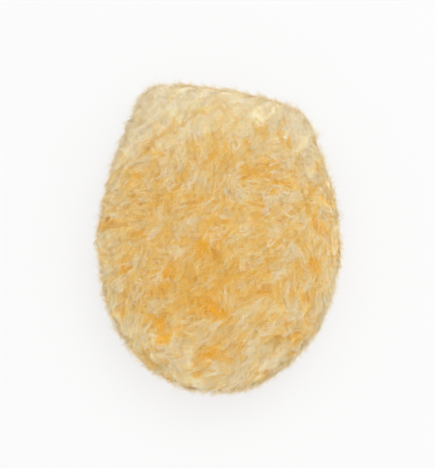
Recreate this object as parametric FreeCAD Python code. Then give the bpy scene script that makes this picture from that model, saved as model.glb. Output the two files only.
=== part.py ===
"""Wash mitt: two pile panels on knitted backing, sewn into a pocket for the hand, with a tuck-in rib cuff.

Millimetres. The mitt lies on its back panel. +X is to the side, +Y towards the wrist, +Z up to the palm.
The origin is under the middle of the whole mitt, on the surface that it lies on.

Every layer of the pocket is the same form at another size: half an egg at the fingertips, widest at
widest_y, and drawn in towards the mouth. form() makes it from a Layer's half width, half height and tip.
The layers are stacked outwards from the pocket, so a change in one moves all that lie outside it.
"""

import FreeCAD
import Part

import os
from collections import namedtuple
from math import cos, hypot, pi, radians, sin, sqrt

# ---- the hand pocket ----
pocket_width = 120.0
pocket_height = 26.0
pocket_length = 195.0
tip_run = 80.0  # from the widest section to the pocket's fingertip end

# ---- the cloth layers ----
lining_thickness = 0.8
backing_thickness = 2.0
crown_gap = 0.2  # between lining and backing on the palm and on the back
side_gap = 1.6  # between lining and backing along the seams, where both seams lie

# ---- the pile ----
palm_pile = 22.0
back_pile = 15.8  # under the back panel, pressed by the mitt's weight
pressed_pile = 4.0  # what the weight takes off the back pile's rounded underside
side_pile = 30.6
tip_pile = 28.6
mouth_side_pile = 20.0  # beside the mouth, where the lip starts
mouth_crown_pile = 14.0  # above and below the mouth, where the lip starts
mouth_overhang = 12.0  # how far the pile stands past the mouth binding
lip_radius = 12.0
mouth_slant = 0.13  # the lip runs back this much for each unit towards +X
lump_height = 2.0  # the wool's lumps, from a mean hollow to a crest
lump_waves = ((4, 95.0), (4, -60.0), (8, 48.0), (8, -41.0), (12, 36.0), (12, -44.0))  # (crests round, pitch along)

# ---- the rib cuff ----
cuff_width = 81.2
cuff_height = 23.2
cuff_length = 48.0
cuff_ply = 1.2
cuff_ply_gap = 0.9
cuff_inset = 1.0  # from the binding's end face to the cuff's sewn edge
cuff_clearance = 0.4
cuff_elastic_width = 24.0
cuff_elastic_thickness = 0.6

# ---- the mouth binding and the elastic in it ----
binding_tape = 0.8
binding_depth = 14.0
hem_clearance = 0.2
mouth_elastic_width = 3.0

# ---- threads ----
seam_thread = 0.5
seam_stitch = 2.6
seam_pitch = 6.0
lining_thread = 0.4
binding_thread = 0.5
binding_stitch = 3.0
binding_pitch = 5.0
binding_stitch_from_edge = 4.0
thread_clearance = 0.05  # between a thread and the cloth that it lies on
pile_over_thread = 0.2  # between the binding's thread and the pile round it

# ---- drawing ----
tip_angles = (84, 72, 60, 48, 36, 24, 12, 0)
gather_steps = 8
lip_angles = (25, 50, 70, 83, 90)
pile_tip_angles = range(84, -1, -6)
pile_steps = 9  # sections from the widest one to the lip
pile_points = 36  # points round each section of the pile
walk_steps = 4000  # small steps that a row of stitches is paced out in
spare = 20.0  # how far a cutting form runs past what it cuts

Layer = namedtuple("Layer", "half_width half_height mouth_half_width mouth_half_height tip_y")


def grown(layer, sideways, upwards, tipwards):
    """The layer that lies outside this one by these thicknesses."""
    return Layer(
        layer.half_width + sideways,
        layer.half_height + upwards,
        layer.mouth_half_width + sideways,
        layer.mouth_half_height + upwards,
        layer.tip_y - tipwards,
    )


def stand_off(stitch, half_width, half_height):
    """How far the ends of a straight stitch stand off the narrow side of an ellipse that it touches."""
    return stitch**2 / 8 * half_width / half_height**2


# ---- where the stations lie along Y ----
length = tip_pile + backing_thickness + side_gap + lining_thickness + pocket_length + mouth_overhang
mouth_y = length / 2
binding_end_y = mouth_y - mouth_overhang
binding_start_y = binding_end_y - binding_depth
pocket_tip_y = binding_end_y - pocket_length
widest_y = pocket_tip_y + tip_run
elastic_end_y = binding_end_y - binding_tape - hem_clearance
hem_y = elastic_end_y - mouth_elastic_width - hem_clearance
lip_y = mouth_y - lip_radius

# ---- the layers, from the cuff outwards ----
mouth_half_width = cuff_width / 2 + cuff_clearance
mouth_half_height = cuff_height / 2 + cuff_clearance
inside_hem = binding_tape + hem_clearance

pocket = Layer(
    pocket_width / 2,
    pocket_height / 2,
    mouth_half_width + inside_hem,
    mouth_half_height + inside_hem,
    pocket_tip_y,
)
lining_face = grown(pocket, lining_thickness, lining_thickness, lining_thickness)
backing_inside = grown(lining_face, side_gap, crown_gap, side_gap)
backing_face = grown(backing_inside, backing_thickness, backing_thickness, backing_thickness)
binding_half_width = backing_face.mouth_half_width + inside_hem
binding_half_height = backing_face.mouth_half_height + inside_hem
stitch_room = (
    thread_clearance
    + binding_thread
    + stand_off(binding_stitch, binding_half_width, binding_half_height)
    + pile_over_thread
)
groove_half_width = binding_half_width + stitch_room
groove_half_height = binding_half_height + stitch_room

seam_z = back_pile + backing_face.half_height


def pile_tips(height):
    """The layer through the pile's tips, for a panel whose pile stands this high over its backing."""
    return Layer(
        backing_face.half_width + side_pile,
        backing_face.half_height + height,
        groove_half_width + mouth_side_pile,
        groove_half_height + mouth_crown_pile,
        backing_face.tip_y - tip_pile,
    )


# ---- shapes ----
def ellipse(half_width, half_height, y):
    """An upright ellipse across the mitt, on the seam's height."""
    edge = Part.Ellipse(FreeCAD.Vector(0, 0, 0), half_width, half_height).toShape()
    edge.rotate(FreeCAD.Vector(0, 0, 0), FreeCAD.Vector(1, 0, 0), 90)
    edge.translate(FreeCAD.Vector(0, y, seam_z))
    return Part.Wire(edge)


def tube_core(half_width, half_height, start_y, end_y):
    """A straight elliptical bar along Y."""
    face = Part.Face(ellipse(half_width, half_height, start_y))
    return face.extrude(FreeCAD.Vector(0, end_y - start_y, 0))


def gather(share):
    """How much of the width still stands at this share of the way from the widest section to the binding."""
    return (1 + cos(pi * share)) / 2


def size_at(layer, y):
    """Half width and half height of an inner layer at this station."""
    if y <= widest_y:
        share = sqrt(max(0.0, 1 - ((widest_y - y) / (widest_y - layer.tip_y)) ** 2))
        return layer.half_width * share, layer.half_height * share
    share = gather(min(1.0, (y - widest_y) / (binding_start_y - widest_y)))
    return (
        layer.mouth_half_width + (layer.half_width - layer.mouth_half_width) * share,
        layer.mouth_half_height + (layer.half_height - layer.mouth_half_height) * share,
    )


def tip_sections(layer):
    """The fingertip end, from its point to the widest section."""
    run = widest_y - layer.tip_y
    sections = [Part.Vertex(0, layer.tip_y, seam_z)]
    for angle in tip_angles:
        share = cos(radians(angle))
        y = widest_y - run * sin(radians(angle))
        sections.append(ellipse(layer.half_width * share, layer.half_height * share, y))
    return sections


def form(layer):
    """The solid inside an inner layer, which runs past the mouth."""
    sections = tip_sections(layer)
    for step in range(1, gather_steps + 1):
        y = widest_y + (binding_start_y - widest_y) * step / gather_steps
        sections.append(ellipse(*size_at(layer, y), y))
    for y in (hem_y, mouth_y, mouth_y + spare):
        sections.append(ellipse(layer.mouth_half_width, layer.mouth_half_height, y))
    return Part.makeLoft(sections, True, False)


def smooth(share):
    """From 0 to 1 without a corner at either end."""
    share = min(1.0, max(0.0, share))
    return share * share * (3 - 2 * share)


def lump(turn, y):
    """How far the wool lies under its crests, at this turn round the section at this station.
    It is 0 at the top and at both sides of the widest section, which keeps the mitt's overall sizes,
    and 0 underneath, where the floor presses the wool flat."""
    waves = [cos(around * turn + 2 * pi * (y - widest_y) / pitch) for around, pitch in lump_waves]
    return lump_height * (1 - sum(waves) / len(waves)) * smooth((sin(turn) + 0.7) / 0.5)


def lumpy_section(half_width, half_height, y, fade, crest):
    """An upright ellipse across the mitt with this share of the wool's lumps, leaned with the mouth's slant.
    The lip keeps its place where x is -crest."""
    points = []
    for k in range(pile_points):
        turn = 2 * pi * k / pile_points
        normal = FreeCAD.Vector(cos(turn) / half_width, 0, sin(turn) / half_height).normalize()
        point = FreeCAD.Vector(half_width * cos(turn), y, seam_z + half_height * sin(turn))
        point -= normal * (lump(turn, y) * fade)
        point.y -= mouth_slant * (point.x + crest) * smooth((y - widest_y) / (lip_y - widest_y))
        points.append(point)
    curve = Part.BSplineCurve()
    curve.interpolate(points, PeriodicFlag=True)
    return Part.Wire(curve.toShape())


def pile_form(layer):
    """The solid inside the pile's tips, with a rounded lip round the mouth."""
    run = lip_y - widest_y
    narrowing = layer.half_width - layer.mouth_half_width
    flattening = layer.half_height - layer.mouth_half_height
    crest = layer.mouth_half_width - (1 + 2 * narrowing / run - mouth_slant / 2) * lip_radius
    sections = [Part.Vertex(0, layer.tip_y, seam_z)]
    for angle in pile_tip_angles:
        share = cos(radians(angle))
        y = widest_y - (widest_y - layer.tip_y) * sin(radians(angle))
        half_width, half_height = layer.half_width * share, layer.half_height * share
        sections.append(lumpy_section(half_width, half_height, y, smooth(share), crest))
    for step in range(1, pile_steps + 1):
        share = step / pile_steps
        half_width = layer.half_width - narrowing * share**2
        half_height = layer.half_height - flattening * share**2
        fade = smooth((1 - share) * 4)
        sections.append(lumpy_section(half_width, half_height, widest_y + run * share, fade, crest))
    for angle in lip_angles:
        forward = lip_radius * sin(radians(angle))
        inward = lip_radius * (1 - cos(radians(angle)))
        half_width = layer.mouth_half_width - 2 * narrowing / run * forward - inward
        half_height = layer.mouth_half_height - 2 * flattening / run * forward - inward
        sections.append(lumpy_section(half_width, half_height, lip_y + forward, 0, crest))
    return Part.makeLoft(sections, True, False)


def slab(low_y, high_y, low_z, high_z):
    """A block wider than the mitt between these limits."""
    half = backing_face.half_width + side_pile + spare
    block = Part.makeBox(2 * half, high_y - low_y, high_z - low_z)
    block.translate(FreeCAD.Vector(-half, low_y, low_z))
    return block


low_y = backing_face.tip_y - tip_pile - spare
top_z = seam_z + backing_face.half_height + palm_pile + spare


def palm_half(shape, high_y):
    """The part of shape above the seam, up to this station."""
    return shape.common(slab(low_y, high_y, seam_z, top_z))


def back_half(shape, high_y):
    """The part of shape below the seam and above the floor, up to this station."""
    return shape.common(slab(low_y, high_y, 0, seam_z))


def thread_bar(middle, direction, thickness, reach):
    """A straight bit of thread, centred on middle."""
    along = FreeCAD.Vector(*direction).normalize()
    start = FreeCAD.Vector(*middle) - along * (reach / 2)
    return Part.makeCylinder(thickness / 2, reach, start, along)


# ---- pieces ----
def pile_panels():
    core = form(backing_face)
    past_mouth = mouth_y + spare
    groove_start_y = binding_start_y - hem_clearance
    groove = tube_core(groove_half_width, groove_half_height, groove_start_y, past_mouth)
    palm = palm_half(pile_form(pile_tips(palm_pile)), past_mouth).cut(core).cut(groove)
    back = back_half(pile_form(pile_tips(back_pile + pressed_pile)), past_mouth).cut(core).cut(groove)
    return palm, back


def cloth_panels(inside, outside):
    """The palm and back panels of the cloth between two layers."""
    cloth = form(outside).cut(form(inside))
    return palm_half(cloth, hem_y), back_half(cloth, hem_y)


def seam_points(layer, inset, phase):
    """Points every seam_pitch along the seam, this far inside a layer, each with its inward direction.
    The walk starts at the fingertip and goes up one side. phase is a share of the pitch."""
    found = []
    walked, due = 0.0, seam_pitch * phase
    previous = None
    for step in range(walk_steps + 1):
        angle = pi / 2 * (1 - 2 * step / walk_steps)
        if angle > 0:
            x = layer.half_width * cos(angle)
            y = widest_y - (widest_y - layer.tip_y) * sin(angle)
        else:
            y = widest_y + (binding_start_y - seam_stitch - widest_y) * (2 * step / walk_steps - 1)
            x = size_at(layer, y)[0]
        if previous is not None:
            across, along = x - previous[0], y - previous[1]
            stride = hypot(across, along)
            walked += stride
            if walked >= due and stride > 0:
                inward = (-along / stride, across / stride)
                found.append((x + inward[0] * inset, y + inward[1] * inset, inward))
                due += seam_pitch
        previous = (x, y)
    return found


def both_sides(points):
    return points + [(-x, y, (-inward[0], inward[1])) for x, y, inward in points]


def seam_stitches(layer, outwards, thickness, phase):
    """Whip stitches across the seam, inside (outwards -1) or outside (outwards 1) a layer's edge."""
    inset = thickness / 2 + thread_clearance
    if outwards < 0:
        inset += stand_off(seam_stitch, max(layer.half_width, widest_y - layer.tip_y), layer.half_height)
    points = both_sides(seam_points(layer, -outwards * inset, phase))
    bars = [thread_bar((x, y, seam_z), (0, 0, 1), thickness, seam_stitch) for x, y, _ in points]
    return Part.makeCompound(bars)


def mouth_binding():
    """The tape folded over the raw edge of backing and lining, with room for the elastic in its fold."""
    outside = tube_core(binding_half_width, binding_half_height, binding_start_y, binding_end_y)
    channel_end = binding_end_y - binding_tape
    channel = tube_core(
        binding_half_width - binding_tape,
        binding_half_height - binding_tape,
        binding_start_y - spare,
        channel_end,
    ).cut(
        tube_core(
            mouth_half_width + binding_tape,
            mouth_half_height + binding_tape,
            binding_start_y - spare,
            channel_end,
        )
    )
    mouth = tube_core(mouth_half_width, mouth_half_height, binding_start_y - spare, binding_end_y + spare)
    return outside.cut(channel).cut(mouth)


def mouth_elastic():
    start_y = elastic_end_y - mouth_elastic_width
    outside = tube_core(
        binding_half_width - inside_hem, binding_half_height - inside_hem, start_y, elastic_end_y
    )
    inside = tube_core(
        mouth_half_width + inside_hem, mouth_half_height + inside_hem, start_y - spare, elastic_end_y + spare
    )
    return outside.cut(inside)


def ring_of_stitches(half_width, half_height, y, thickness, reach, pitch):
    """Straight stitches end to end round the outside of an elliptical tube."""
    turn = 2 * pi / walk_steps
    steps = [
        hypot(half_width * sin(turn * k), half_height * cos(turn * k)) * turn for k in range(walk_steps)
    ]
    count = max(3, int(sum(steps) / pitch))
    spacing = sum(steps) / count
    bars, walked = [], 0.0
    for k, step in enumerate(steps):
        if walked >= len(bars) * spacing and len(bars) < count:
            angle = turn * k
            normal = FreeCAD.Vector(cos(angle) / half_width, 0, sin(angle) / half_height).normalize()
            foot = FreeCAD.Vector(half_width * cos(angle), y, seam_z + half_height * sin(angle))
            middle = foot + normal * (thickness / 2 + thread_clearance)
            bars.append(thread_bar(tuple(middle), (-normal.z, 0, normal.x), thickness, reach))
        walked += step
    return Part.makeCompound(bars)


cuff_outer_y = binding_end_y - cuff_inset
cuff_inner_y = cuff_outer_y - cuff_length
outer_ply = (cuff_width / 2 - cuff_ply, cuff_height / 2 - cuff_ply)
inner_ply = (outer_ply[0] - cuff_ply_gap, outer_ply[1] - cuff_ply_gap)
cuff_bore = (inner_ply[0] - cuff_ply, inner_ply[1] - cuff_ply)


def cuff_knit():
    """A rib-knit tube folded double, with the fold at its inner end and both raw edges at the mouth."""
    outside = tube_core(cuff_width / 2, cuff_height / 2, cuff_inner_y, cuff_outer_y)
    between_start = cuff_inner_y + cuff_ply
    between = tube_core(*outer_ply, between_start, cuff_outer_y + spare).cut(
        tube_core(*inner_ply, between_start, cuff_outer_y + spare)
    )
    bore = tube_core(*cuff_bore, cuff_inner_y - spare, cuff_outer_y + spare)
    return outside.cut(between).cut(bore)


def cuff_elastic_band():
    slack = (cuff_ply_gap - cuff_elastic_thickness) / 2
    start_y = (cuff_inner_y + cuff_outer_y - cuff_elastic_width) / 2
    end_y = start_y + cuff_elastic_width
    outside = tube_core(outer_ply[0] - slack, outer_ply[1] - slack, start_y, end_y)
    inside = tube_core(inner_ply[0] + slack, inner_ply[1] + slack, start_y - spare, end_y + spare)
    return outside.cut(inside)


def write(name, shape):
    shape.exportStep(os.path.join("parts", name + ".step"))
    volume = shape.Volume / 1000
    print(f"{name:22s} solids {len(shape.Solids):3d}  valid {shape.isValid()}  volume {volume:9.3f} cm3")


def main():
    os.makedirs("parts", exist_ok=True)
    palm, back = pile_panels()
    write("palm_pile", palm)
    write("back_pile", back)
    palm, back = cloth_panels(backing_inside, backing_face)
    write("palm_backing", palm)
    write("back_backing", back)
    palm, back = cloth_panels(pocket, lining_face)
    write("palm_lining", palm)
    write("back_lining", back)
    write("side_seam_thread", seam_stitches(backing_inside, -1, seam_thread, 0.25))
    write("lining_seam_thread", seam_stitches(lining_face, 1, lining_thread, 0.75))
    write("mouth_binding", mouth_binding())
    write("mouth_elastic", mouth_elastic())
    stitch_y = binding_start_y + binding_stitch_from_edge
    write(
        "binding_stitches",
        ring_of_stitches(
            binding_half_width, binding_half_height, stitch_y, binding_thread, binding_stitch, binding_pitch
        ),
    )
    write("cuff_knit", cuff_knit())
    write("cuff_elastic_band", cuff_elastic_band())
    print(f"length {length:.2f}  width {2 * pile_tips(palm_pile).half_width:.2f}  seam height {seam_z:.2f}")


main()
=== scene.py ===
"""The wash mitt's looks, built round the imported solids.

Metres. The mitt lies on its back panel: +X to the side, +Y towards the wrist, +Z up through the palm panel.
The wool is made of locks. A lock is a bundle of strands that leaves the undercoat, bends over and lies along
the pile's surface, and every strand is a thin closed prism that ends in a point.
"""

from math import cos, pi, radians, sin

import bmesh
import bpy
import numpy as np
from mathutils import Matrix, Vector
from mathutils.kdtree import KDTree


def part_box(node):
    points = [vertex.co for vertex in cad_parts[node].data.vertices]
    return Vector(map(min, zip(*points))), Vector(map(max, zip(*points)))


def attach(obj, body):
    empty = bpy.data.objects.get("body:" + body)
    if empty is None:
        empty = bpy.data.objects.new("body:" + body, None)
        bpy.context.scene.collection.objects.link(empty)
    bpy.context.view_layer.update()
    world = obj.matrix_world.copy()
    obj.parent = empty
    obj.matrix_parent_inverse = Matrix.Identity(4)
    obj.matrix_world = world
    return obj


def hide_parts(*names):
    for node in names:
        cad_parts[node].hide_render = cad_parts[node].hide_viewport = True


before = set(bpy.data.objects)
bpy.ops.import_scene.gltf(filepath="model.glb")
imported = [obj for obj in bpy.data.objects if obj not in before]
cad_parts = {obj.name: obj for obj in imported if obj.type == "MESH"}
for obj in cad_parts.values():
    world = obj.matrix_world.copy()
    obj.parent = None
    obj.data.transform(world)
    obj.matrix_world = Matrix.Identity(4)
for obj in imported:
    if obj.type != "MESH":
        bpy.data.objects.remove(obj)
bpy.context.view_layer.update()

MM = 0.001

# ---- sizes read from the frame ----
palm_low, palm_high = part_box("palm_pile")
backing_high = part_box("palm_backing")[1]
backing_tip_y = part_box("palm_backing")[0].y
binding_low, binding_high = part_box("mouth_binding")
cuff_low, cuff_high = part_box("cuff_knit")
seam_z = palm_low.z
side_x = palm_high.x
tip_y = palm_low.y
mouth_y = palm_high.y
palm_up = palm_high.z - seam_z
backing_up = backing_high.z - seam_z
mouth_x = binding_high.x
mouth_up = binding_high.z - seam_z

# ---- the pile's form, as in the part's source ----
widest_y = -7 * MM
pressed = 4 * MM  # how much deeper the back pile would be with nothing under it
lip = 12 * MM
lip_side = 20.8 * MM  # from the binding to the pile's tips, beside the mouth
lip_crown = 14.8 * MM
mouth_slant = 0.13  # the mouth's edge runs back this much for each unit towards +X
lump_height = 2.0 * MM
lump_waves = ((4, 95), (4, -60), (8, 48), (8, -41), (12, 36), (12, -44))  # (crests round, pitch along in mm)
undercoat_depth = 1.5 * MM  # from the pile's tips to the undercoat
floor_gap = 0.4 * MM
cuff_way = 1.5 * MM  # what the strands leave free round the cuff
coat_rows = 80
coat_columns = 300

# ---- the cuff, the tape and the lining, with the thicknesses of the part's source ----
cuff_ply = 1.2 * MM
cuff_gap = 0.9 * MM  # between the cuff's two plies
cuff_play = 0.4 * MM  # between the cuff and the binding
cuff_ribs = 56
cuff_rib_depth = 0.5 * MM
cuff_stitch = 2.4 * MM
cuff_stitch_depth = 0.15 * MM
cuff_rows = 92
rib_points = 8  # points round each rib
tape = 0.8 * MM
tape_bend = 1.8 * MM
tape_puckers = 42
tape_pucker_depth = 0.2 * MM
tape_columns = 480
lining = 0.8 * MM
lining_columns = 240
lining_gathers = 36
hem_room = 1.0 * MM  # between the binding's bore and the pocket

# ---- the wool's locks and colours ----
pale_from = 20 * MM  # along Y, where the wool starts to get paler towards the mouth
bare_from = 90 * MM  # along Y, where the locks are thinnest
back_from = -0.25  # a surface whose normal points further down than this carries the back's locks
rim_band = 0.25  # how far the normals lean on the band of wisps
golden_parts = ((-15, -35, 50, 45, 1.0), (15, 55, 40, 25, 0.6))  # (x, y, reach in x and in y in mm, strength)
map_columns = 128  # the wool's map holds this many shades of strand side by side
faces_per_piece = 190000

# ---- the view ----
elevation = 76.0
roll = 3.0
lens = 85.0
frame_height = 0.363  # how much the picture's height takes in at the mitt
view_right = -1.5 * MM  # from the mitt's middle to the picture's middle
view_up = 2 * MM

# ---- the light ----
ambient_strength = 0.93
floor_reach = 3.0
key_light = ((0.3, 0.55, 1.2), 0.9, 2.8)  # (place, size, power)
fill_light = ((1.1, -0.7, 0.6), 1.0, 1.0)
shading_lift = 1.0  # how far the strands' shading is turned up, next to the way that they face


# ================ numbers ================
def ripple(points, wavelength, seed, waves=20):
    """A smooth random field of about unit size over these points, with features of this wavelength."""
    rng = np.random.default_rng(seed)
    directions = rng.normal(size=(waves, 3))
    directions /= np.linalg.norm(directions, axis=1, keepdims=True)
    pace = 2 * pi / (wavelength * rng.uniform(0.7, 1.5, waves))
    phase = rng.uniform(0, 2 * pi, waves)
    total = np.zeros(points.shape[:-1])
    for direction, speed, start in zip(directions, pace, phase):
        total += np.cos(points @ direction * speed + start)
    return total / np.sqrt(waves / 2)


def unit(vectors):
    """Each vector at length 1."""
    return vectors / np.maximum(np.linalg.norm(vectors, axis=-1, keepdims=True), 1e-12)


# ================ the pile's form ================
def outline(inset, rows):
    """Rows of (y, half width, height above the seam, depth below it, share of lumps), this far inside the
    pile's tips, from the fingertips to the mouth's edge."""
    width, up, down = side_x - inset, palm_up - inset, seam_z + pressed - inset
    start_y, lip_y = tip_y + inset, mouth_y - lip
    mouth_width, mouth_height = mouth_x + lip_side - inset, mouth_up + lip_crown - inset
    found = []
    for angle in np.linspace(pi / 2, 0, rows):
        share = cos(angle)
        y = widest_y - (widest_y - start_y) * sin(angle)
        found.append((y, width * share, up * share, down * share, share))
    run = lip_y - widest_y
    losses = (width - mouth_width, up - mouth_height, down - mouth_height)
    for share in np.linspace(0, 1, rows)[1:]:
        sizes = [size - loss * share**2 for size, loss in zip((width, up, down), losses)]
        found.append((widest_y + run * share, *sizes, (1 - share) * 4))
    bend = lip - inset
    for angle in np.linspace(0, pi / 2, rows // 5)[1:]:
        forward, inward = bend * sin(angle), bend * (1 - cos(angle))
        sizes = [
            size - loss * (1 + 2 * forward / run) - inward for size, loss in zip((width, up, down), losses)
        ]
        found.append((lip_y + forward, *sizes, 0))
    return np.array(found)


def smooth(x, low, high):
    """From 0 at low to 1 at high without a corner at either end. It may also run from high to low."""
    t = np.clip((x - low) / (high - low), 0, 1)
    return t * t * (3 - 2 * t)


def lump(turn, y):
    """How far the wool lies under its crests, at this turn round the mitt at this station."""
    waves = [np.cos(around * turn + 2 * pi * (y - widest_y) / (pitch * MM)) for around, pitch in lump_waves]
    return lump_height * (1 - sum(waves) / len(waves)) * smooth(np.sin(turn), -0.7, -0.2)


def hoops(rows, columns=180):
    """A grid of points, one closed hoop per row of (y, half width, height above the seam, depth below it),
    starting at the +X side and going up over the palm."""
    turn = np.linspace(0, 2 * pi, columns, endpoint=False)
    y, width, up, down = (rows[:, k][:, None] for k in range(4))
    height = np.where(np.sin(turn) > 0, up, down)
    return np.stack([
        width * np.cos(turn),
        np.broadcast_to(y, (len(rows), columns)),
        seam_z + height * np.sin(turn),
    ], axis=-1)


def slant(grid, start_y, end_y):
    """Leans the mouth's end of a grid back towards +X. The lip's crest at -X keeps its place."""
    loss = side_x - mouth_x - lip_side
    crest = mouth_x + lip_side - (1 + 2 * loss / (mouth_y - lip - widest_y) - mouth_slant / 2) * lip
    grid[..., 1] -= mouth_slant * (grid[..., 0] + crest) * smooth(grid[..., 1], start_y, end_y)


def pile_surface(inset, rows, columns):
    """The pile's form, this far inside its tips, as a grid of points with its lumps and the mouth's slant."""
    found = outline(inset, rows)
    grid = hoops(found, columns)
    turn = np.linspace(0, 2 * pi, columns, endpoint=False)
    height = np.where(np.sin(turn) > 0, found[:, 2:3], found[:, 3:4])
    normals = unit(np.stack([
        np.cos(turn) / np.maximum(found[:, 1:2], MM),
        np.zeros(height.shape),
        np.sin(turn) / np.maximum(height, MM),
    ], axis=-1))
    hollow = lump(turn, found[:, :1]) * smooth(found[:, 4:5], 0, 1)
    grid = grid - normals * hollow[..., None]
    slant(grid, widest_y, mouth_y - lip)
    return grid


def lattice_normals(grid):
    """The way out of a form at each point of its grid."""
    along = np.gradient(grid, axis=0)
    around = (np.roll(grid, -1, axis=1) - np.roll(grid, 1, axis=1)) / 2
    return unit(np.cross(around, along) * -1)


pile_grid = pile_surface(0, 45, 180)
pile_normals = lattice_normals(pile_grid)


def scattered(count, chance, apart, seed):
    """Points on the pile's form with their normals, this far apart or more, as thick as chance says."""
    rng = np.random.default_rng(seed)
    corner = pile_grid[:-1]
    step_along = pile_grid[1:] - corner
    step_around = np.roll(corner, -1, axis=1) - corner
    area = np.linalg.norm(np.cross(step_along, step_around), axis=-1)
    weight = (area * chance(corner, pile_normals[:-1])).ravel()
    cells = rng.choice(weight.size, size=count * 6, p=weight / weight.sum())
    rows, columns = np.divmod(cells, corner.shape[1])
    down, across = rng.uniform(size=(2, len(cells), 1))
    points = corner[rows, columns] + step_along[rows, columns] * down + step_around[rows, columns] * across
    normals = pile_normals[rows, columns]
    taken, kept = {}, []
    for k, cell in enumerate(map(tuple, np.floor(points / apart).astype(int))):
        near = (
            other
            for dx in (-1, 0, 1) for dy in (-1, 0, 1) for dz in (-1, 0, 1)
            for other in taken.get((cell[0] + dx, cell[1] + dy, cell[2] + dz), ())
        )
        if all(np.sum((points[k] - points[other])**2) > apart**2 for other in near):
            taken.setdefault(cell, []).append(k)
            kept.append(k)
            if len(kept) == count:
                break
    return points[kept], normals[kept]


def tree_of(points):
    """A search tree over these points."""
    tree = KDTree(len(points))
    for k, point in enumerate(points):
        tree.insert(point, k)
    tree.balance()
    return tree


# ================ locks ================
def grow(points, normals, flow, length, width, tone, pull, beat, layer, rng):
    """Strands of the locks that lie at these points, flat along the surface: lines of (strand, point, 3),
    how far each of their points is to lie above the undercoat, and shades.
    pull draws a lock's tip aside, and beat is where each lock's crimp starts."""
    locks, per_lock, strand_points = len(points), layer["per_lock"], layer["points"]
    s = np.linspace(0, 1, strand_points)
    flow = unit(flow - normals * np.sum(flow * normals, axis=1, keepdims=True))
    side = np.cross(normals, flow)
    swing = np.radians(rng.normal(0, layer["curl"], locks))[:, None] * (s - 0.3)
    heading = np.cos(swing)[..., None] * flow[:, None] + np.sin(swing)[..., None] * side[:, None]
    across = -np.sin(swing)[..., None] * flow[:, None] + np.cos(swing)[..., None] * side[:, None]
    stride = heading * (length[:, None, None] / (strand_points - 1))
    path = np.concatenate([np.zeros((locks, 1, 3)), np.cumsum(stride[:, 1:], axis=1)], axis=1)
    path = path - path[:, strand_points // 2][:, None] + pull[:, None] * (s**2)[:, None]

    offset = rng.uniform(-1, 1, (locks, per_lock, 1))
    stretch = rng.uniform(0.6, 1.15, (locks, per_lock, 1, 1))
    shift = rng.normal(0, 0.12, (locks, per_lock, 1, 1)) * length[:, None, None, None] * flow[:, None, None]
    loose = np.where(rng.uniform(size=(locks, per_lock, 1)) < layer["stray"], 3.0, 1.0)
    wander = loose * rng.normal(0, 0.22, (locks, per_lock, 1)) * s
    turns = length[:, None] / (layer["crimp_length"] * MM) * s
    wave = np.sin(2 * pi * turns + beat[:, None])[:, None] * (layer["crimp"] * MM)
    spread = 0.7 + 0.3 * np.sin(pi * s) + layer["fray"] * s**2
    uneven = 1 + rng.normal(0, 0.25, (locks, per_lock, 1))
    sideways = (offset * spread + wander) * width[:, None, None] / 2 + wave * uneven
    line = points[:, None, None] + path[:, None] * stretch + shift + across[:, None] * sideways[..., None]

    bed = rng.uniform(*layer["bed"], (locks, per_lock, 1)) * MM
    chance = layer["free"] * (1 + 1.5 * rim_at(points)[:, None, None])
    free = (rng.uniform(size=(locks, 1, 1)) < chance) * rng.uniform(*layer["rise"], (locks, 1, 1)) * MM
    rise = free * rng.uniform(0.4, 1.2, (locks, per_lock, 1))
    above = bed + rise * s**1.5 - 0.5 * MM * (1 - s)**4
    stripe = layer["stripe"] * np.sin(6 * offset[..., 0] + beat[:, None])
    shade = np.clip(tone[:, None] + stripe + rng.normal(0, 0.12, (locks, per_lock)), 0, 1)
    return line.reshape(-1, strand_points, 3), above.reshape(-1, strand_points), shade.ravel()


def drape(lines, above):
    """Lays the strands this far above the undercoat, above the floor and out of the cuff's way.
    Returns them with the way each point faces."""
    flat = lines.reshape(-1, 3)
    near = np.array([coat_tree.find(point)[1] for point in flat])
    spots, facing = coat_points[near], coat_normals[near]
    height = np.sum((flat - spots) * facing, axis=1)
    laid = flat + facing * (above.ravel() - height)[:, None]
    laid[:, 2] = floor_gap + np.logaddexp(0, (laid[:, 2] - floor_gap) / MM * 2) * MM / 2
    wide, tall = cuff_high.x + cuff_way, cuff_high.z - seam_z + cuff_way
    out = np.hypot(laid[:, 0] / wide, (laid[:, 2] - seam_z) / tall)
    push = np.where(laid[:, 1] > binding_low.y, np.maximum(1, 1 / np.maximum(out, 0.1)), 1)
    laid[:, 0] *= push
    laid[:, 2] = seam_z + (laid[:, 2] - seam_z) * push
    return laid.reshape(lines.shape), facing.reshape(lines.shape)


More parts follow.
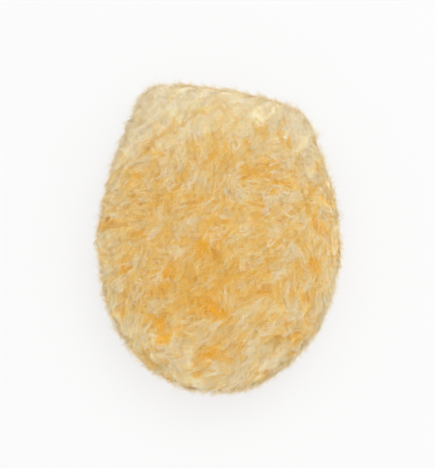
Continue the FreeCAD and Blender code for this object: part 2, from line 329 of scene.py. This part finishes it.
def strand_mesh(name, lines, shades, facings, thickness):
    """One mesh of three-sided strands, each with a flat side that faces out of the pile and is shaded as part
    of its surface, turned part of the way up. Its map has a column per shade, and runs from root to tip."""
    count, points = lines.shape[:2]
    tangent = unit(np.gradient(lines, axis=1))
    first = unit(np.cross(tangent, facings))
    second = np.cross(tangent, first)
    s = np.linspace(0, 1, points)
    radius = thickness / 2 * (1 - 0.45 * s)
    turns = [pi / 2, pi / 2 + 2 * pi / 3, pi / 2 + 4 * pi / 3]
    outward = np.stack([first * cos(a) + second * sin(a) for a in turns], axis=2)
    rings = (lines[:, :, None] + outward * radius[None, :, None, None])[:, :-1]
    vertices = np.concatenate([rings.reshape(count, -1, 3), lines[:, -1:]], axis=1)
    stride = vertices.shape[1]
    under = unit(outward + np.roll(outward, -1, axis=2))
    lifted = unit(facings + [0, 0, shading_lift])
    bends = np.stack([under[:, :, 0], lifted, under[:, :, 2], -tangent], axis=2).reshape(count, -1, 3)

    faces, shading = [], []
    for k in range(points - 2):
        for a in range(3):
            b = (a + 1) % 3
            low, high = 3 * k, 3 * k + 3
            faces += [(low + a, low + b, high + b), (low + a, high + b, high + a)]
            shading += [(4 * k + a, 4 * k + a, 4 * k + 4 + a), (4 * k + a, 4 * k + 4 + a, 4 * k + 4 + a)]
    last = points - 2
    faces += [(3 * last + a, 3 * last + (a + 1) % 3, stride - 1) for a in range(3)] + [(0, 2, 1)]
    shading += [(4 * last + a, 4 * last + a, 4 * last + 4 + a) for a in range(3)] + [(3, 3, 3)]
    corners = (np.array(faces)[None] + (np.arange(count) * stride)[:, None, None]).reshape(-1)

    column = np.floor(np.clip(shades, 0, 0.999) * map_columns)
    inside = np.tile([0.1, 0.9, 0.5], points - 1)
    u = (column[:, None] + np.append(inside, 0.5)) / map_columns
    v = np.broadcast_to(np.append(np.repeat(s[:-1], 3), 1) * 0.96 + 0.02, u.shape)
    places = np.stack([u.ravel(), v.ravel()], axis=-1)
    thing = mesh_object(name, vertices.reshape(-1, 3), corners, 3, places)
    normals = bends[:, np.array(shading).ravel()].reshape(-1, 3)
    thing.data.normals_split_custom_set(normals.astype(np.float32))
    return thing


def mesh_object(name, vertices, corners, sides, places=None):
    """A smooth mesh of faces that all have this many sides. places is each vertex's spot on its map."""
    mesh = bpy.data.meshes.new(name)
    total = len(corners) // sides
    mesh.vertices.add(len(vertices))
    mesh.vertices.foreach_set("co", np.ascontiguousarray(vertices, np.float32).ravel())
    mesh.loops.add(len(corners))
    mesh.loops.foreach_set("vertex_index", np.ascontiguousarray(corners, np.int32))
    mesh.polygons.add(total)
    mesh.polygons.foreach_set("loop_start", np.arange(0, len(corners), sides, dtype=np.int32))
    mesh.polygons.foreach_set("use_smooth", np.ones(total, bool))
    if places is not None:
        layer = mesh.uv_layers.new(name="OFBake")
        layer.data.foreach_set("uv", np.ascontiguousarray(places[corners], np.float32).ravel())
    mesh.update(calc_edges=True)
    mesh.validate()
    thing = bpy.data.objects.new(name, mesh)
    bpy.context.scene.collection.objects.link(thing)
    return thing


def closed_tube(grid, ring=False):
    """Corners of quads over a grid of hoops, which face out where the rows run towards +Y.
    With ring, the last hoop is joined to the first."""
    rows, columns = grid.shape[:2]
    a = np.arange(rows * columns).reshape(rows, columns)
    if ring:
        a = np.concatenate([a, a[:1]])
    b = np.roll(a, -1, axis=1)
    return np.stack([a[:-1], a[1:], b[1:], b[:-1]], axis=-1).reshape(-1)


def weld(thing):
    """Joins the points that coincide at a form's ends."""
    form = bmesh.new()
    form.from_mesh(thing.data)
    bmesh.ops.remove_doubles(form, verts=form.verts, dist=MM / 1000)
    form.to_mesh(thing.data)
    form.free()


# ================ materials ================
def shader(name, roughness=0.9, sheen=0.0, specular=0.25):
    """A material with one Principled shader. Returns it with its tree and its shader node."""
    material = bpy.data.materials.new(name)
    material.use_nodes = True
    tree = material.node_tree
    node = tree.nodes["Principled BSDF"]
    node.inputs["Roughness"].default_value = roughness
    node.inputs["Sheen Weight"].default_value = sheen
    node.inputs["Specular IOR Level"].default_value = specular
    return material, tree, node


def linear(red, green, blue):
    """A colour given as it looks on a screen, from 0 to 255."""
    return (*((c / 255) ** 2.2 for c in (red, green, blue)), 1.0)


def ramp(tree, stops):
    """A colour ramp with these (place, sRGB colour) stops."""
    node = tree.nodes.new("ShaderNodeValToRGB")
    elements = node.color_ramp.elements
    while len(elements) < len(stops):
        elements.new(0.5)
    for element, (place, colour) in zip(elements, stops):
        element.position = place
        element.color = linear(*colour)
    return node


def math_node(tree, operation, first, second):
    """A math node over two inputs, each a socket or a number."""
    node = tree.nodes.new("ShaderNodeMath")
    node.operation = operation
    for socket, value in zip(node.inputs, (first, second)):
        if isinstance(value, (int, float)):
            socket.default_value = value
        else:
            tree.links.new(value, socket)
    return node.outputs[0]


def wool_material():
    """Strands go from gold at the root to cream at the tip, and the map's columns from golden to pale."""
    material, tree, node = shader("wool", roughness=0.85, specular=0.1)
    place = tree.nodes.new("ShaderNodeUVMap")
    place.uv_map = "OFBake"
    split = tree.nodes.new("ShaderNodeSeparateXYZ")
    tree.links.new(place.outputs["UV"], split.inputs[0])
    along = math_node(tree, "MULTIPLY", split.outputs["Y"], 0.25)
    shade = math_node(tree, "MULTIPLY", split.outputs["X"], 0.75)
    level = math_node(tree, "ADD", along, shade)
    colours = ramp(tree, [
        (0.0, (250, 190, 66)),
        (0.3, (255, 212, 112)),
        (0.6, (255, 230, 160)),
        (1.0, (255, 246, 226)),
    ])
    tree.links.new(level, colours.inputs[0])
    tree.links.new(colours.outputs[0], node.inputs["Base Color"])
    return material


def undercoat_material():
    """Matted wool, from cream to gold by the coat's gold value, with light spreading in it. The gold value
    holds painted light, paler at the rim, and partly painted shade, deeper gold in the pockets.
    """
    material, tree, node = shader("undercoat", roughness=0.95)
    place = tree.nodes.new("ShaderNodeTexCoord")
    noise = tree.nodes.new("ShaderNodeTexNoise")
    noise.inputs["Scale"].default_value = 260.0
    noise.inputs["Detail"].default_value = 6.0
    tree.links.new(place.outputs["Object"], noise.inputs["Vector"])
    node.inputs["Subsurface Weight"].default_value = 1.0
    node.inputs["Subsurface Radius"].default_value = (1.0, 0.7, 0.4)
    node.inputs["Subsurface Scale"].default_value = 3 * MM
    gold = tree.nodes.new("ShaderNodeAttribute")
    gold.attribute_name = "gold"
    grain = math_node(tree, "MULTIPLY", math_node(tree, "SUBTRACT", noise.outputs[0], 0.5), 0.5)
    colours = ramp(tree, [(0.0, (255, 238, 206)), (0.5, (255, 214, 132)), (1.0, (244, 184, 62))])
    tree.links.new(math_node(tree, "ADD", gold.outputs["Fac"], grain), colours.inputs[0])
    tree.links.new(colours.outputs[0], node.inputs["Base Color"])
    bump = tree.nodes.new("ShaderNodeBump")
    bump.inputs["Distance"].default_value = 1.5 * MM
    tree.links.new(noise.outputs[0], bump.inputs["Height"])
    tree.links.new(bump.outputs[0], node.inputs["Normal"])
    return material


def rib_material():
    """The cuff's yarn, mottled and with a fine nap. The ribs are in the mesh."""
    material, tree, node = shader("rib_knit", roughness=0.9, sheen=0.1)
    place = tree.nodes.new("ShaderNodeTexCoord")
    noise = tree.nodes.new("ShaderNodeTexNoise")
    noise.inputs["Scale"].default_value = 900.0
    noise.inputs["Detail"].default_value = 3.0
    tree.links.new(place.outputs["Object"], noise.inputs["Vector"])
    colours = ramp(tree, [(0.35, (222, 202, 158)), (0.65, (244, 232, 200))])
    tree.links.new(noise.outputs[0], colours.inputs[0])
    tree.links.new(colours.outputs[0], node.inputs["Base Color"])
    bump = tree.nodes.new("ShaderNodeBump")
    bump.inputs["Distance"].default_value = 0.1 * MM
    tree.links.new(noise.outputs[0], bump.inputs["Height"])
    tree.links.new(bump.outputs[0], node.inputs["Normal"])
    return material


def cloth_material(name, low, high, scale, depth):
    """Plain woven cloth: two crossed sets of threads, as colour and as relief."""
    material, tree, node = shader(name, roughness=0.9, sheen=0.1)
    place = tree.nodes.new("ShaderNodeTexCoord")
    waves = []
    for direction in ("X", "Y"):
        wave = tree.nodes.new("ShaderNodeTexWave")
        wave.bands_direction = direction
        wave.inputs["Scale"].default_value = scale
        wave.inputs["Distortion"].default_value = 1.5
        wave.inputs["Detail"].default_value = 2.0
        tree.links.new(place.outputs["Object"], wave.inputs["Vector"])
        waves.append(wave.outputs["Fac"])
    weave = math_node(tree, "MULTIPLY", waves[0], waves[1])
    colours = ramp(tree, [(0.1, low), (0.8, high)])
    tree.links.new(weave, colours.inputs[0])
    tree.links.new(colours.outputs[0], node.inputs["Base Color"])
    bump = tree.nodes.new("ShaderNodeBump")
    bump.inputs["Distance"].default_value = depth
    tree.links.new(weave, bump.inputs["Height"])
    tree.links.new(bump.outputs[0], node.inputs["Normal"])
    return material


def wear(name, material):
    """Gives a solid that stays as it is this material."""
    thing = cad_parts[name]
    thing.data.materials.clear()
    thing.data.materials.append(material)


# ================ the camera, the light and the floor ================
def aim_camera():
    """The photograph's view: from steeply above the fingertip end, turned a little."""
    camera = bpy.data.objects.new("camera", bpy.data.cameras.new("camera"))
    bpy.context.scene.collection.objects.link(camera)
    camera.data.lens = lens
    camera.data.sensor_width = 36.0
    tilt = radians(elevation)
    back = Vector((0, -cos(tilt), sin(tilt)))
    up = Vector((0, sin(tilt), cos(tilt)))
    up.rotate(Matrix.Rotation(radians(roll), 3, back))
    right = up.cross(back)
    target = Vector((0, 0, seam_z)) + right * view_right + up * view_up
    away = frame_height * lens / camera.data.sensor_width
    camera.matrix_world = Matrix((
        (right.x, up.x, back.x, 0), (right.y, up.y, back.y, 0), (right.z, up.z, back.z, 0), (0, 0, 0, 1)
    ))
    camera.location = target + back * away
    bpy.context.scene.camera = camera


aim_camera()


def light(name, place, size, power):
    """A soft round lamp that points at the mitt."""
    lamp = bpy.data.lights.new(name, "AREA")
    lamp.shape = "DISK"
    lamp.size = size
    lamp.energy = power
    thing = bpy.data.objects.new(name, lamp)
    bpy.context.scene.collection.objects.link(thing)
    thing.location = place
    thing.rotation_euler = (Vector((0, 0, 0)) - Vector(place)).to_track_quat("-Z", "Y").to_euler()


def white_where_seen(tree, shown, other):
    """Mixes in plain white for rays that come from the camera or through gloss or glass."""
    path = tree.nodes.new("ShaderNodeLightPath")
    seen = math_node(tree, "MAXIMUM", path.outputs["Is Camera Ray"], path.outputs["Is Glossy Ray"])
    seen = math_node(tree, "MAXIMUM", seen, path.outputs["Is Transmission Ray"])
    mix = tree.nodes.new("ShaderNodeMixShader")
    tree.links.new(math_node(tree, "MULTIPLY", seen, shown), mix.inputs[0])
    tree.links.new(other, mix.inputs[1])
    return mix


def studio():
    """A white world, a pale floor that keeps the mitt's shadow, and two soft lamps."""
    world = bpy.data.worlds.new("studio")
    bpy.context.scene.world = world
    world.use_nodes = True
    tree = world.node_tree
    ambient = tree.nodes["Background"]
    ambient.inputs["Color"].default_value = (1, 1, 1, 1)
    ambient.inputs["Strength"].default_value = ambient_strength
    white = tree.nodes.new("ShaderNodeBackground")
    white.inputs["Color"].default_value = (1, 1, 1, 1)
    mix = white_where_seen(tree, 1.0, ambient.outputs[0])
    tree.links.new(white.outputs[0], mix.inputs[2])
    tree.links.new(mix.outputs[0], tree.nodes["World Output"].inputs["Surface"])

    reach = floor_reach
    corners = [(-reach, -reach, 0), (reach, -reach, 0), (reach, reach, 0), (-reach, reach, 0)]
    floor = mesh_object("floor", np.array(corners, float), np.arange(4), 4)
    material, tree, node = shader("floor", roughness=1.0, specular=0.0)
    node.inputs["Base Color"].default_value = (0.85, 0.85, 0.85, 1)
    glow = tree.nodes.new("ShaderNodeEmission")
    mix = white_where_seen(tree, 0.7, node.outputs[0])
    tree.links.new(glow.outputs[0], mix.inputs[2])
    tree.links.new(mix.outputs[0], tree.nodes["Material Output"].inputs["Surface"])
    floor.data.materials.append(material)
    light("key", *key_light)
    light("fill", *fill_light)


studio()

# ================ the undercoat ================
def pockets_at(points):
    """Hollows where the golden undercoat shows, from 0 to 1. The extra gold they give is partly painted shade
    in the hollows.
    """
    calm = smooth(points[..., 1], 0, 80 * MM) + 0.6 * rim_at(points)
    return smooth(ripple(points, 26 * MM, 5), 0.3, 1.4) * (1 - 0.8 * np.minimum(calm, 1))


def heart_at(points):
    """How golden the broad parts of the palm are."""
    x, y = points[..., 0] / MM, points[..., 1] / MM
    return sum(
        strength * np.exp(-(((x - middle_x) / wide) ** 2 + ((y - middle_y) / long) ** 2))
        for middle_x, middle_y, wide, long, strength in golden_parts
    )


def rim_at(points):
    """How near the mitt's outline, seen from above, from 0 to 1. The wool is made paler by it, as painted
    light on the upright side.
    """
    return smooth((points[..., 0] / side_x) ** 2 + (points[..., 1] / mouth_y) ** 2, 0.5, 1.0)


def undercoat():
    """A closed shell of matted wool between the locks' roots and the backing."""
    clear = 1.0 * MM
    back_in = []
    for y in np.linspace(mouth_y - 9 * MM, binding_low.y, 6):
        back_in.append((y, mouth_x + clear, mouth_up + clear, mouth_up + clear))
    for share in np.linspace(1, 0, 14)[1:]:
        y = widest_y + (binding_low.y - widest_y) * share
        gathered = (1 + cos(pi * share)) / 2
        width = mouth_x + (backing_high.x - mouth_x) * gathered + clear
        height = mouth_up + (backing_up - mouth_up) * gathered + clear
        back_in.append((y, width, height, height))
    for angle in np.linspace(0, pi / 2, 24)[1:]:
        share = cos(angle)
        y = widest_y - (widest_y - backing_tip_y + clear) * sin(angle)
        height = (backing_up + clear) * share
        back_in.append((y, (backing_high.x + clear) * share, height, height))
    outside = pile_surface(undercoat_depth, coat_rows, coat_columns)
    normals = lattice_normals(outside)
    relief = ripple(outside, 12 * MM, 31) * 0.5 * MM + ripple(outside, 6 * MM, 32) * 0.35 * MM
    relief -= pockets_at(outside) * 0.8 * MM
    fade = smooth(outside[..., 1], tip_y, tip_y + 30 * MM) * smooth(outside[..., 1], mouth_y, 90 * MM)
    outside = outside + normals * (relief * fade)[..., None]
    outside[..., 2] = np.maximum(outside[..., 2], 1.0 * MM)
    inside = hoops(np.array(back_in), coat_columns)
    slant(inside, binding_low.y, mouth_y - 9 * MM)
    grid = np.concatenate([outside, inside])
    points = grid.reshape(-1, 3)
    thing = mesh_object("undercoat", points, closed_tube(grid), 4)
    # Partly painted shade: the undercoat's golden roots are made deeper gold in the pockets, as the shade in
    # the hollows.
    gold = 0.45 + 0.6 * pockets_at(points)
    gold += 0.14 * ripple(points, 24 * MM, 33) + 0.10 * ripple(points, 9 * MM, 34)
    # Painted light: the undercoat is made paler at the rim, where its upright side gets less light. It is
    # also paler towards the mouth.
    gold -= 0.7 * smooth(points[:, 1], pale_from, mouth_y) + 0.7 * rim_at(points) - 0.3 * heart_at(points)
    tones = thing.data.attributes.new("gold", "FLOAT", "POINT")
    tones.data.foreach_set("value", np.clip(gold, 0, 1).astype(np.float32))
    weld(thing)
    return thing, outside.reshape(-1, 3), lattice_normals(outside).reshape(-1, 3)


# ================ the pile ================
# Lengths in millimetres and angles in degrees. fray opens a lock's tip. bed is how far above the undercoat a
# strand lies, and rise is how far the tips of the free locks stand off it.
# A staple is a tuft of neighbouring locks that lie and crimp together.
LOCKS = {
    "per_lock": 14, "points": 14, "length": 15, "width": 4.2, "thickness": 0.22, "curl": 30,
    "crimp": 0.8, "crimp_length": 5.0, "fray": 0.3, "stray": 0.15,
    "bed": (-0.05, 0.3), "free": 0.45, "rise": (1.5, 5.5), "shade": 0.56, "stripe": 0.34, "staple": 13,
}
FUZZ = {
    "per_lock": 8, "points": 4, "length": 7, "width": 4.0, "thickness": 0.22, "curl": 60,
    "crimp": 0.3, "crimp_length": 5.0, "fray": 0.3, "stray": 0.1,
    "bed": (-0.1, 0.2), "free": 0.2, "rise": (0.5, 2.0), "shade": 0.4, "stripe": 0.1, "staple": 13,
}
CRESTS = {
    "per_lock": 7, "points": 16, "length": 10, "width": 2.6, "thickness": 0.25, "curl": 30,
    "crimp": 0.5, "crimp_length": 3.6, "fray": 0.3, "stray": 0.15,
    "bed": (0.3, 0.8), "free": 0.3, "rise": (0.5, 3.0), "shade": 0.88, "stripe": 0.1, "staple": 13,
}
# Painted light: the rim's wisps are the palest strands, on the upright side that gets less light.
WISPS = {
    "per_lock": 12, "points": 8, "length": 8, "width": 2.4, "thickness": 0.15, "curl": 60,
    "crimp": 0.5, "crimp_length": 4.0, "fray": 0.6, "stray": 0.2,
    "bed": (0.0, 0.3), "free": 1.0, "rise": (1.0, 8.5), "shade": 1.0, "stripe": 0.1, "staple": 9,
}
BACK_LOCKS = dict(LOCKS, points=8, crimp_length=8.0, width=6.4, thickness=0.3)


def flow_over(points, seed):
    """The way the locks lie: mostly towards the fingertips, in broad sweeps that turn from place to place."""
    sweep = np.stack([ripple(points, 70 * MM, seed + k) for k in range(3)], axis=-1)
    whirl = np.stack([ripple(points, 30 * MM, seed + 10 + k) for k in range(3)], axis=-1)
    return np.array([-0.6, -0.65, -0.1]) + 0.3 * sweep + 0.2 * whirl


def tone_over(points, pockets):
    """How much paler the strands are near the mouth and at the rim, and how much more golden elsewhere. The
    rim's paleness is painted light, and the pockets' extra gold is partly painted shade.
    """
    # Painted light: the strands at the rim are made paler, to stand in for the light that the upright side
    # lacks.
    tone = 0.40 * smooth(points[:, 1], pale_from, mouth_y) + 0.45 * rim_at(points)
    tone -= 0.28 * heart_at(points)
    # Partly painted shade: strands in the pockets are made more golden, as the hollows' shade over the wool's
    # golden roots.
    return tone + 0.14 * ripple(points, 14 * MM, 77) - 0.45 * pockets


def plant(name, layer, count, apart, chance, seed):
    """A layer of locks over part of the pile, as pieces that are each a share of its strands."""
    rng = np.random.default_rng(seed + 1)
    points, normals = scattered(count, chance, apart * MM, seed)
    centres, _ = scattered(2000, chance, layer["staple"] * MM, 7)
    tree = tree_of(centres)
    staple = np.array([tree.find(point)[1] for point in points])
    away = points - centres[staple]
    away = away - normals * np.sum(away * normals, axis=1, keepdims=True)
    edge = np.clip(np.linalg.norm(away, axis=1) / (layer["staple"] * MM * 0.6), 0, 1.3)**2

    pockets = pockets_at(points)
    length = layer["length"] * MM * rng.uniform(0.7, 1.25, len(points)) * (1 - 0.25 * pockets)
    width = layer["width"] * MM * rng.uniform(0.6, 1.3, len(points))
    # Painted shade: locks at the edge of a staple are made more golden, as the shade between the tufts.
    tone = layer["shade"] + tone_over(points, pockets) - 0.10 * edge
    tone = tone + rng.normal(0, 0.07, len(centres))[staple] + rng.normal(0, 0.16, len(points))
    flow = flow_over(centres, 40)[staple] + rng.normal(0, 0.22, (len(centres), 3))[staple]
    flow = flow + rng.normal(0, 0.2, points.shape)
    beat = rng.uniform(0, 2 * pi, len(centres))[staple] + rng.normal(0, 0.5, len(points))
    lines, above, shades = grow(points, normals, flow, length, width, tone, -0.35 * away, beat, layer, rng)
    lines, facings = drape(lines, above)
    most = faces_per_piece // (6 * layer["points"] - 8)
    for k in range(0, len(lines), most):
        share = slice(k, k + most)
        piece = strand_mesh(
            f"{name}_{k // most + 1}", lines[share], shades[share], facings[share], layer["thickness"] * MM
        )
        piece.data.materials.append(wool)
        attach(piece, "mitt")


# Each of these says how thick a layer of locks is, from 0 to 1.
def on_palm(points, normals):
    """The palm's side and the rim, with fewer locks at the rim, near the mouth and in the pockets."""
    bare = np.maximum(rim_at(points), smooth(points[..., 1], pale_from, bare_from))
    return (normals[..., 2] > back_from) * (1 - 0.85 * pockets_at(points)) * (1 - 0.5 * bare)


def on_crown(points, normals):
    """The middle of the palm."""
    middle = (1 - rim_at(points)) * (1 - 0.7 * smooth(points[..., 1], pale_from, bare_from))
    return on_palm(points, normals) * middle


def on_rim(points, normals):
    """A band round the mitt where its side is upright."""
    return np.exp(-((normals[..., 2] / rim_band) ** 2))


def on_back(points, normals):
    """The back panel's side."""
    return (normals[..., 2] <= back_from) * (1 - 0.85 * pockets_at(points))


wool = wool_material()
coat, coat_points, coat_normals = undercoat()
coat_tree = tree_of(coat_points)
coat.data.materials.append(undercoat_material())
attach(coat, "mitt")
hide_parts("palm_pile", "back_pile")

plant("palm_fuzz", FUZZ, 3000, 2.8, on_palm, 300)
plant("palm_locks", LOCKS, 1750, 2.8, on_palm, 100)
plant("palm_crests", CRESTS, 1000, 3.0, on_crown, 600)
plant("rim_wisps", WISPS, 800, 2.8, on_rim, 500)
plant("back_fuzz", FUZZ, 1200, 4.0, on_back, 400)
plant("back_locks", BACK_LOCKS, 1500, 3.6, on_back, 200)

# ================ the mouth and the lining ================
def profile_tube(name, profile, outside, bore, columns, relief):
    """A closed tube round the mouth. profile is rows of (y, share of the way from the outside to the bore,
    depth under that), and relief(turn, y, share, depth) is how much further in each point lies."""
    y, share, depth = (column[:, None] for column in np.array(profile).T)
    turn = np.linspace(0, 2 * pi, columns, endpoint=False)
    inward = depth + relief(turn, y, share, depth)
    width, height = (start + (end - start) * share - inward for start, end in zip(outside, bore))
    grid = np.stack([
        width * np.cos(turn), np.broadcast_to(y, inward.shape), seam_z + height * np.sin(turn),
    ], axis=-1)
    return mesh_object(name, grid.reshape(-1, 3), closed_tube(grid, True), 4)


def rib_relief(turn, y, share, depth):
    """Ribs along the cuff with the stitches' bumps on them, on the outside and in the bore."""
    rib = 0.5 - 0.5 * np.cos(cuff_ribs * turn)
    stitch = 0.5 - 0.5 * np.cos(2 * pi * y / cuff_stitch)
    relief = cuff_rib_depth * (1 - rib) + cuff_stitch_depth * rib * stitch
    outer = (1 - smooth(share, 0, 0.25)) * (1 - smooth(depth, 0, cuff_ply * 0.7))
    inner = smooth(share, 0.75, 1) * (1 - smooth(-depth, 0, cuff_ply * 0.7))
    return relief * (outer - inner)


def rib_cuff():
    """The knitted tube, folded double at its inner end, with both raw edges at the mouth."""
    start, end = cuff_low.y, cuff_high.y
    thick = 2 * cuff_ply + cuff_gap
    bend = thick / 2
    edge = cuff_ply / 4
    along = np.linspace(start + bend, end - edge, cuff_rows)
    rows = [(y, 0, 0) for y in along]
    rows += [(end, 0, edge), (end, 0, cuff_ply - edge), (end - edge, 0, cuff_ply)]
    rows += [(start + cuff_ply, 0, cuff_ply), (start + cuff_ply, 1, -cuff_ply)]
    rows += [(end - edge, 1, -cuff_ply), (end, 1, edge - cuff_ply), (end, 1, -edge)]
    rows += [(y, 1, 0) for y in along[::-1]]
    for angle in np.linspace(0, pi, 11)[1:-1]:
        rows.append((start + bend * (1 - sin(angle)), (1 + cos(angle)) / 2, 0))
    outside = (cuff_high.x, cuff_high.z - seam_z)
    bore = tuple(size - thick for size in outside)
    thing = profile_tube("rib_cuff", rows, outside, bore, cuff_ribs * rib_points, rib_relief)
    thing.data.materials.append(rib_material())
    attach(thing, "cuff")
    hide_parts("cuff_knit")


def tape_relief(turn, y, share, depth):
    """The tape's outer leg puckers between the stitches."""
    pucker = 0.5 - 0.5 * np.cos(tape_puckers * turn + 0.7 * np.sin(3 * turn))
    return (1 - smooth(share, 0, 0.3)) * (depth < tape / 2) * tape_pucker_depth * pucker


def folded_tape():
    """The tape folded over the mouth's raw edge."""
    start, end = binding_low.y, binding_high.y
    bend = end - tape_bend
    rows = [(y, 0, 0) for y in np.linspace(start, bend, 24)]
    for angle in np.linspace(0, pi, 15)[1:-1]:
        rows.append((bend + tape_bend * sin(angle), (1 - cos(angle)) / 2, 0))
    rows += [(y, 1, 0) for y in np.linspace(bend, start, 12)]
    rows += [(start, 1, -tape), (bend, 1, -tape)]
    for angle in np.linspace(pi, 0, 15)[1:-1]:
        rows.append((bend + (tape_bend - tape) * sin(angle), (1 - cos(angle)) / 2, tape * cos(angle)))
    rows += [(bend, 0, tape), (start, 0, tape)]
    bore = (cuff_high.x + cuff_play, cuff_high.z - seam_z + cuff_play)
    thing = profile_tube("folded_tape", rows, (mouth_x, mouth_up), bore, tape_columns, tape_relief)
    cloth = cloth_material("binding_tape", (206, 176, 116), (240, 216, 160), 1100.0, 0.1 * MM)
    thing.data.materials.append(cloth)
    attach(thing, "mitt")
    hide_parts("mouth_binding")


def bag(wide, tall, tip, mouth_wide, mouth_tall, hem):
    """Hoops of the lining from its fingertip end to its hem."""
    rows = []
    for angle in np.linspace(pi / 2, 0, 48):
        rows.append((widest_y - (widest_y - tip) * sin(angle), wide * cos(angle), tall * cos(angle)))
    for share in np.linspace(0, 1, 48)[1:]:
        full = (1 + cos(pi * share)) / 2
        y = widest_y + (binding_low.y - widest_y) * share
        rows.append((y, mouth_wide + (wide - mouth_wide) * full, mouth_tall + (tall - mouth_tall) * full))
    rows.append((hem, mouth_wide, mouth_tall))
    return hoops(np.array([(y, width, height, height) for y, width, height in rows]), lining_columns)


def lining_bag():
    """Both lining panels as one soft bag, with folds on the inside and gathers towards the cuff."""
    low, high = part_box("palm_lining")
    mouth = [size + cuff_play + hem_room + lining for size in (cuff_high.x, cuff_high.z - seam_z)]
    sizes = (high.x, high.z - seam_z, low.y, *mouth, high.y)
    thinner = np.array([lining, lining, -lining, lining, lining, 0])
    outside, inside = bag(*sizes), bag(*(np.array(sizes) - thinner))
    turn = np.linspace(0, 2 * pi, inside.shape[1], endpoint=False)
    y = inside[..., 1]
    gathers = (0.5 - 0.5 * np.cos(lining_gathers * turn + np.sin(5 * turn))) * smooth(y, 20 * MM, 60 * MM)
    folds = gathers * 0.5 * MM + smooth(ripple(inside, 16 * MM, 61), 0, 2) * 0.8 * MM
    folds *= smooth(y, low.y, low.y + 25 * MM) * (1 - smooth(y, binding_low.y - 8 * MM, binding_low.y))
    axis = inside * [0, 1, 0] + [0, 0, seam_z]
    inside = inside + unit(axis - inside) * folds[..., None]
    grid = np.concatenate([outside, inside[::-1]])
    thing = mesh_object("lining_bag", grid.reshape(-1, 3), closed_tube(grid), 4)
    weld(thing)
    cloth = cloth_material("lining_cloth", (205, 190, 160), (238, 226, 200), 900.0, 0.2 * MM)
    thing.data.materials.append(cloth)
    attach(thing, "mitt")
    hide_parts("palm_lining", "back_lining")


rib_cuff()
folded_tape()
lining_bag()

backing = cloth_material("backing_knit", (196, 168, 112), (232, 208, 156), 500.0, 0.4 * MM)
thread, _, thread_shader = shader("thread", roughness=0.6, sheen=0.1)
thread_shader.inputs["Base Color"].default_value = linear(236, 218, 176)
elastic, _, elastic_shader = shader("elastic", roughness=0.8)
elastic_shader.inputs["Base Color"].default_value = linear(232, 228, 214)
for name, material in {
    "palm_backing": backing, "back_backing": backing,
    "side_seam_thread": thread, "lining_seam_thread": thread, "binding_stitches": thread,
    "mouth_elastic": elastic, "cuff_elastic_band": elastic,
}.items():
    wear(name, material)

bpy.context.scene.view_settings.view_transform = "Standard"
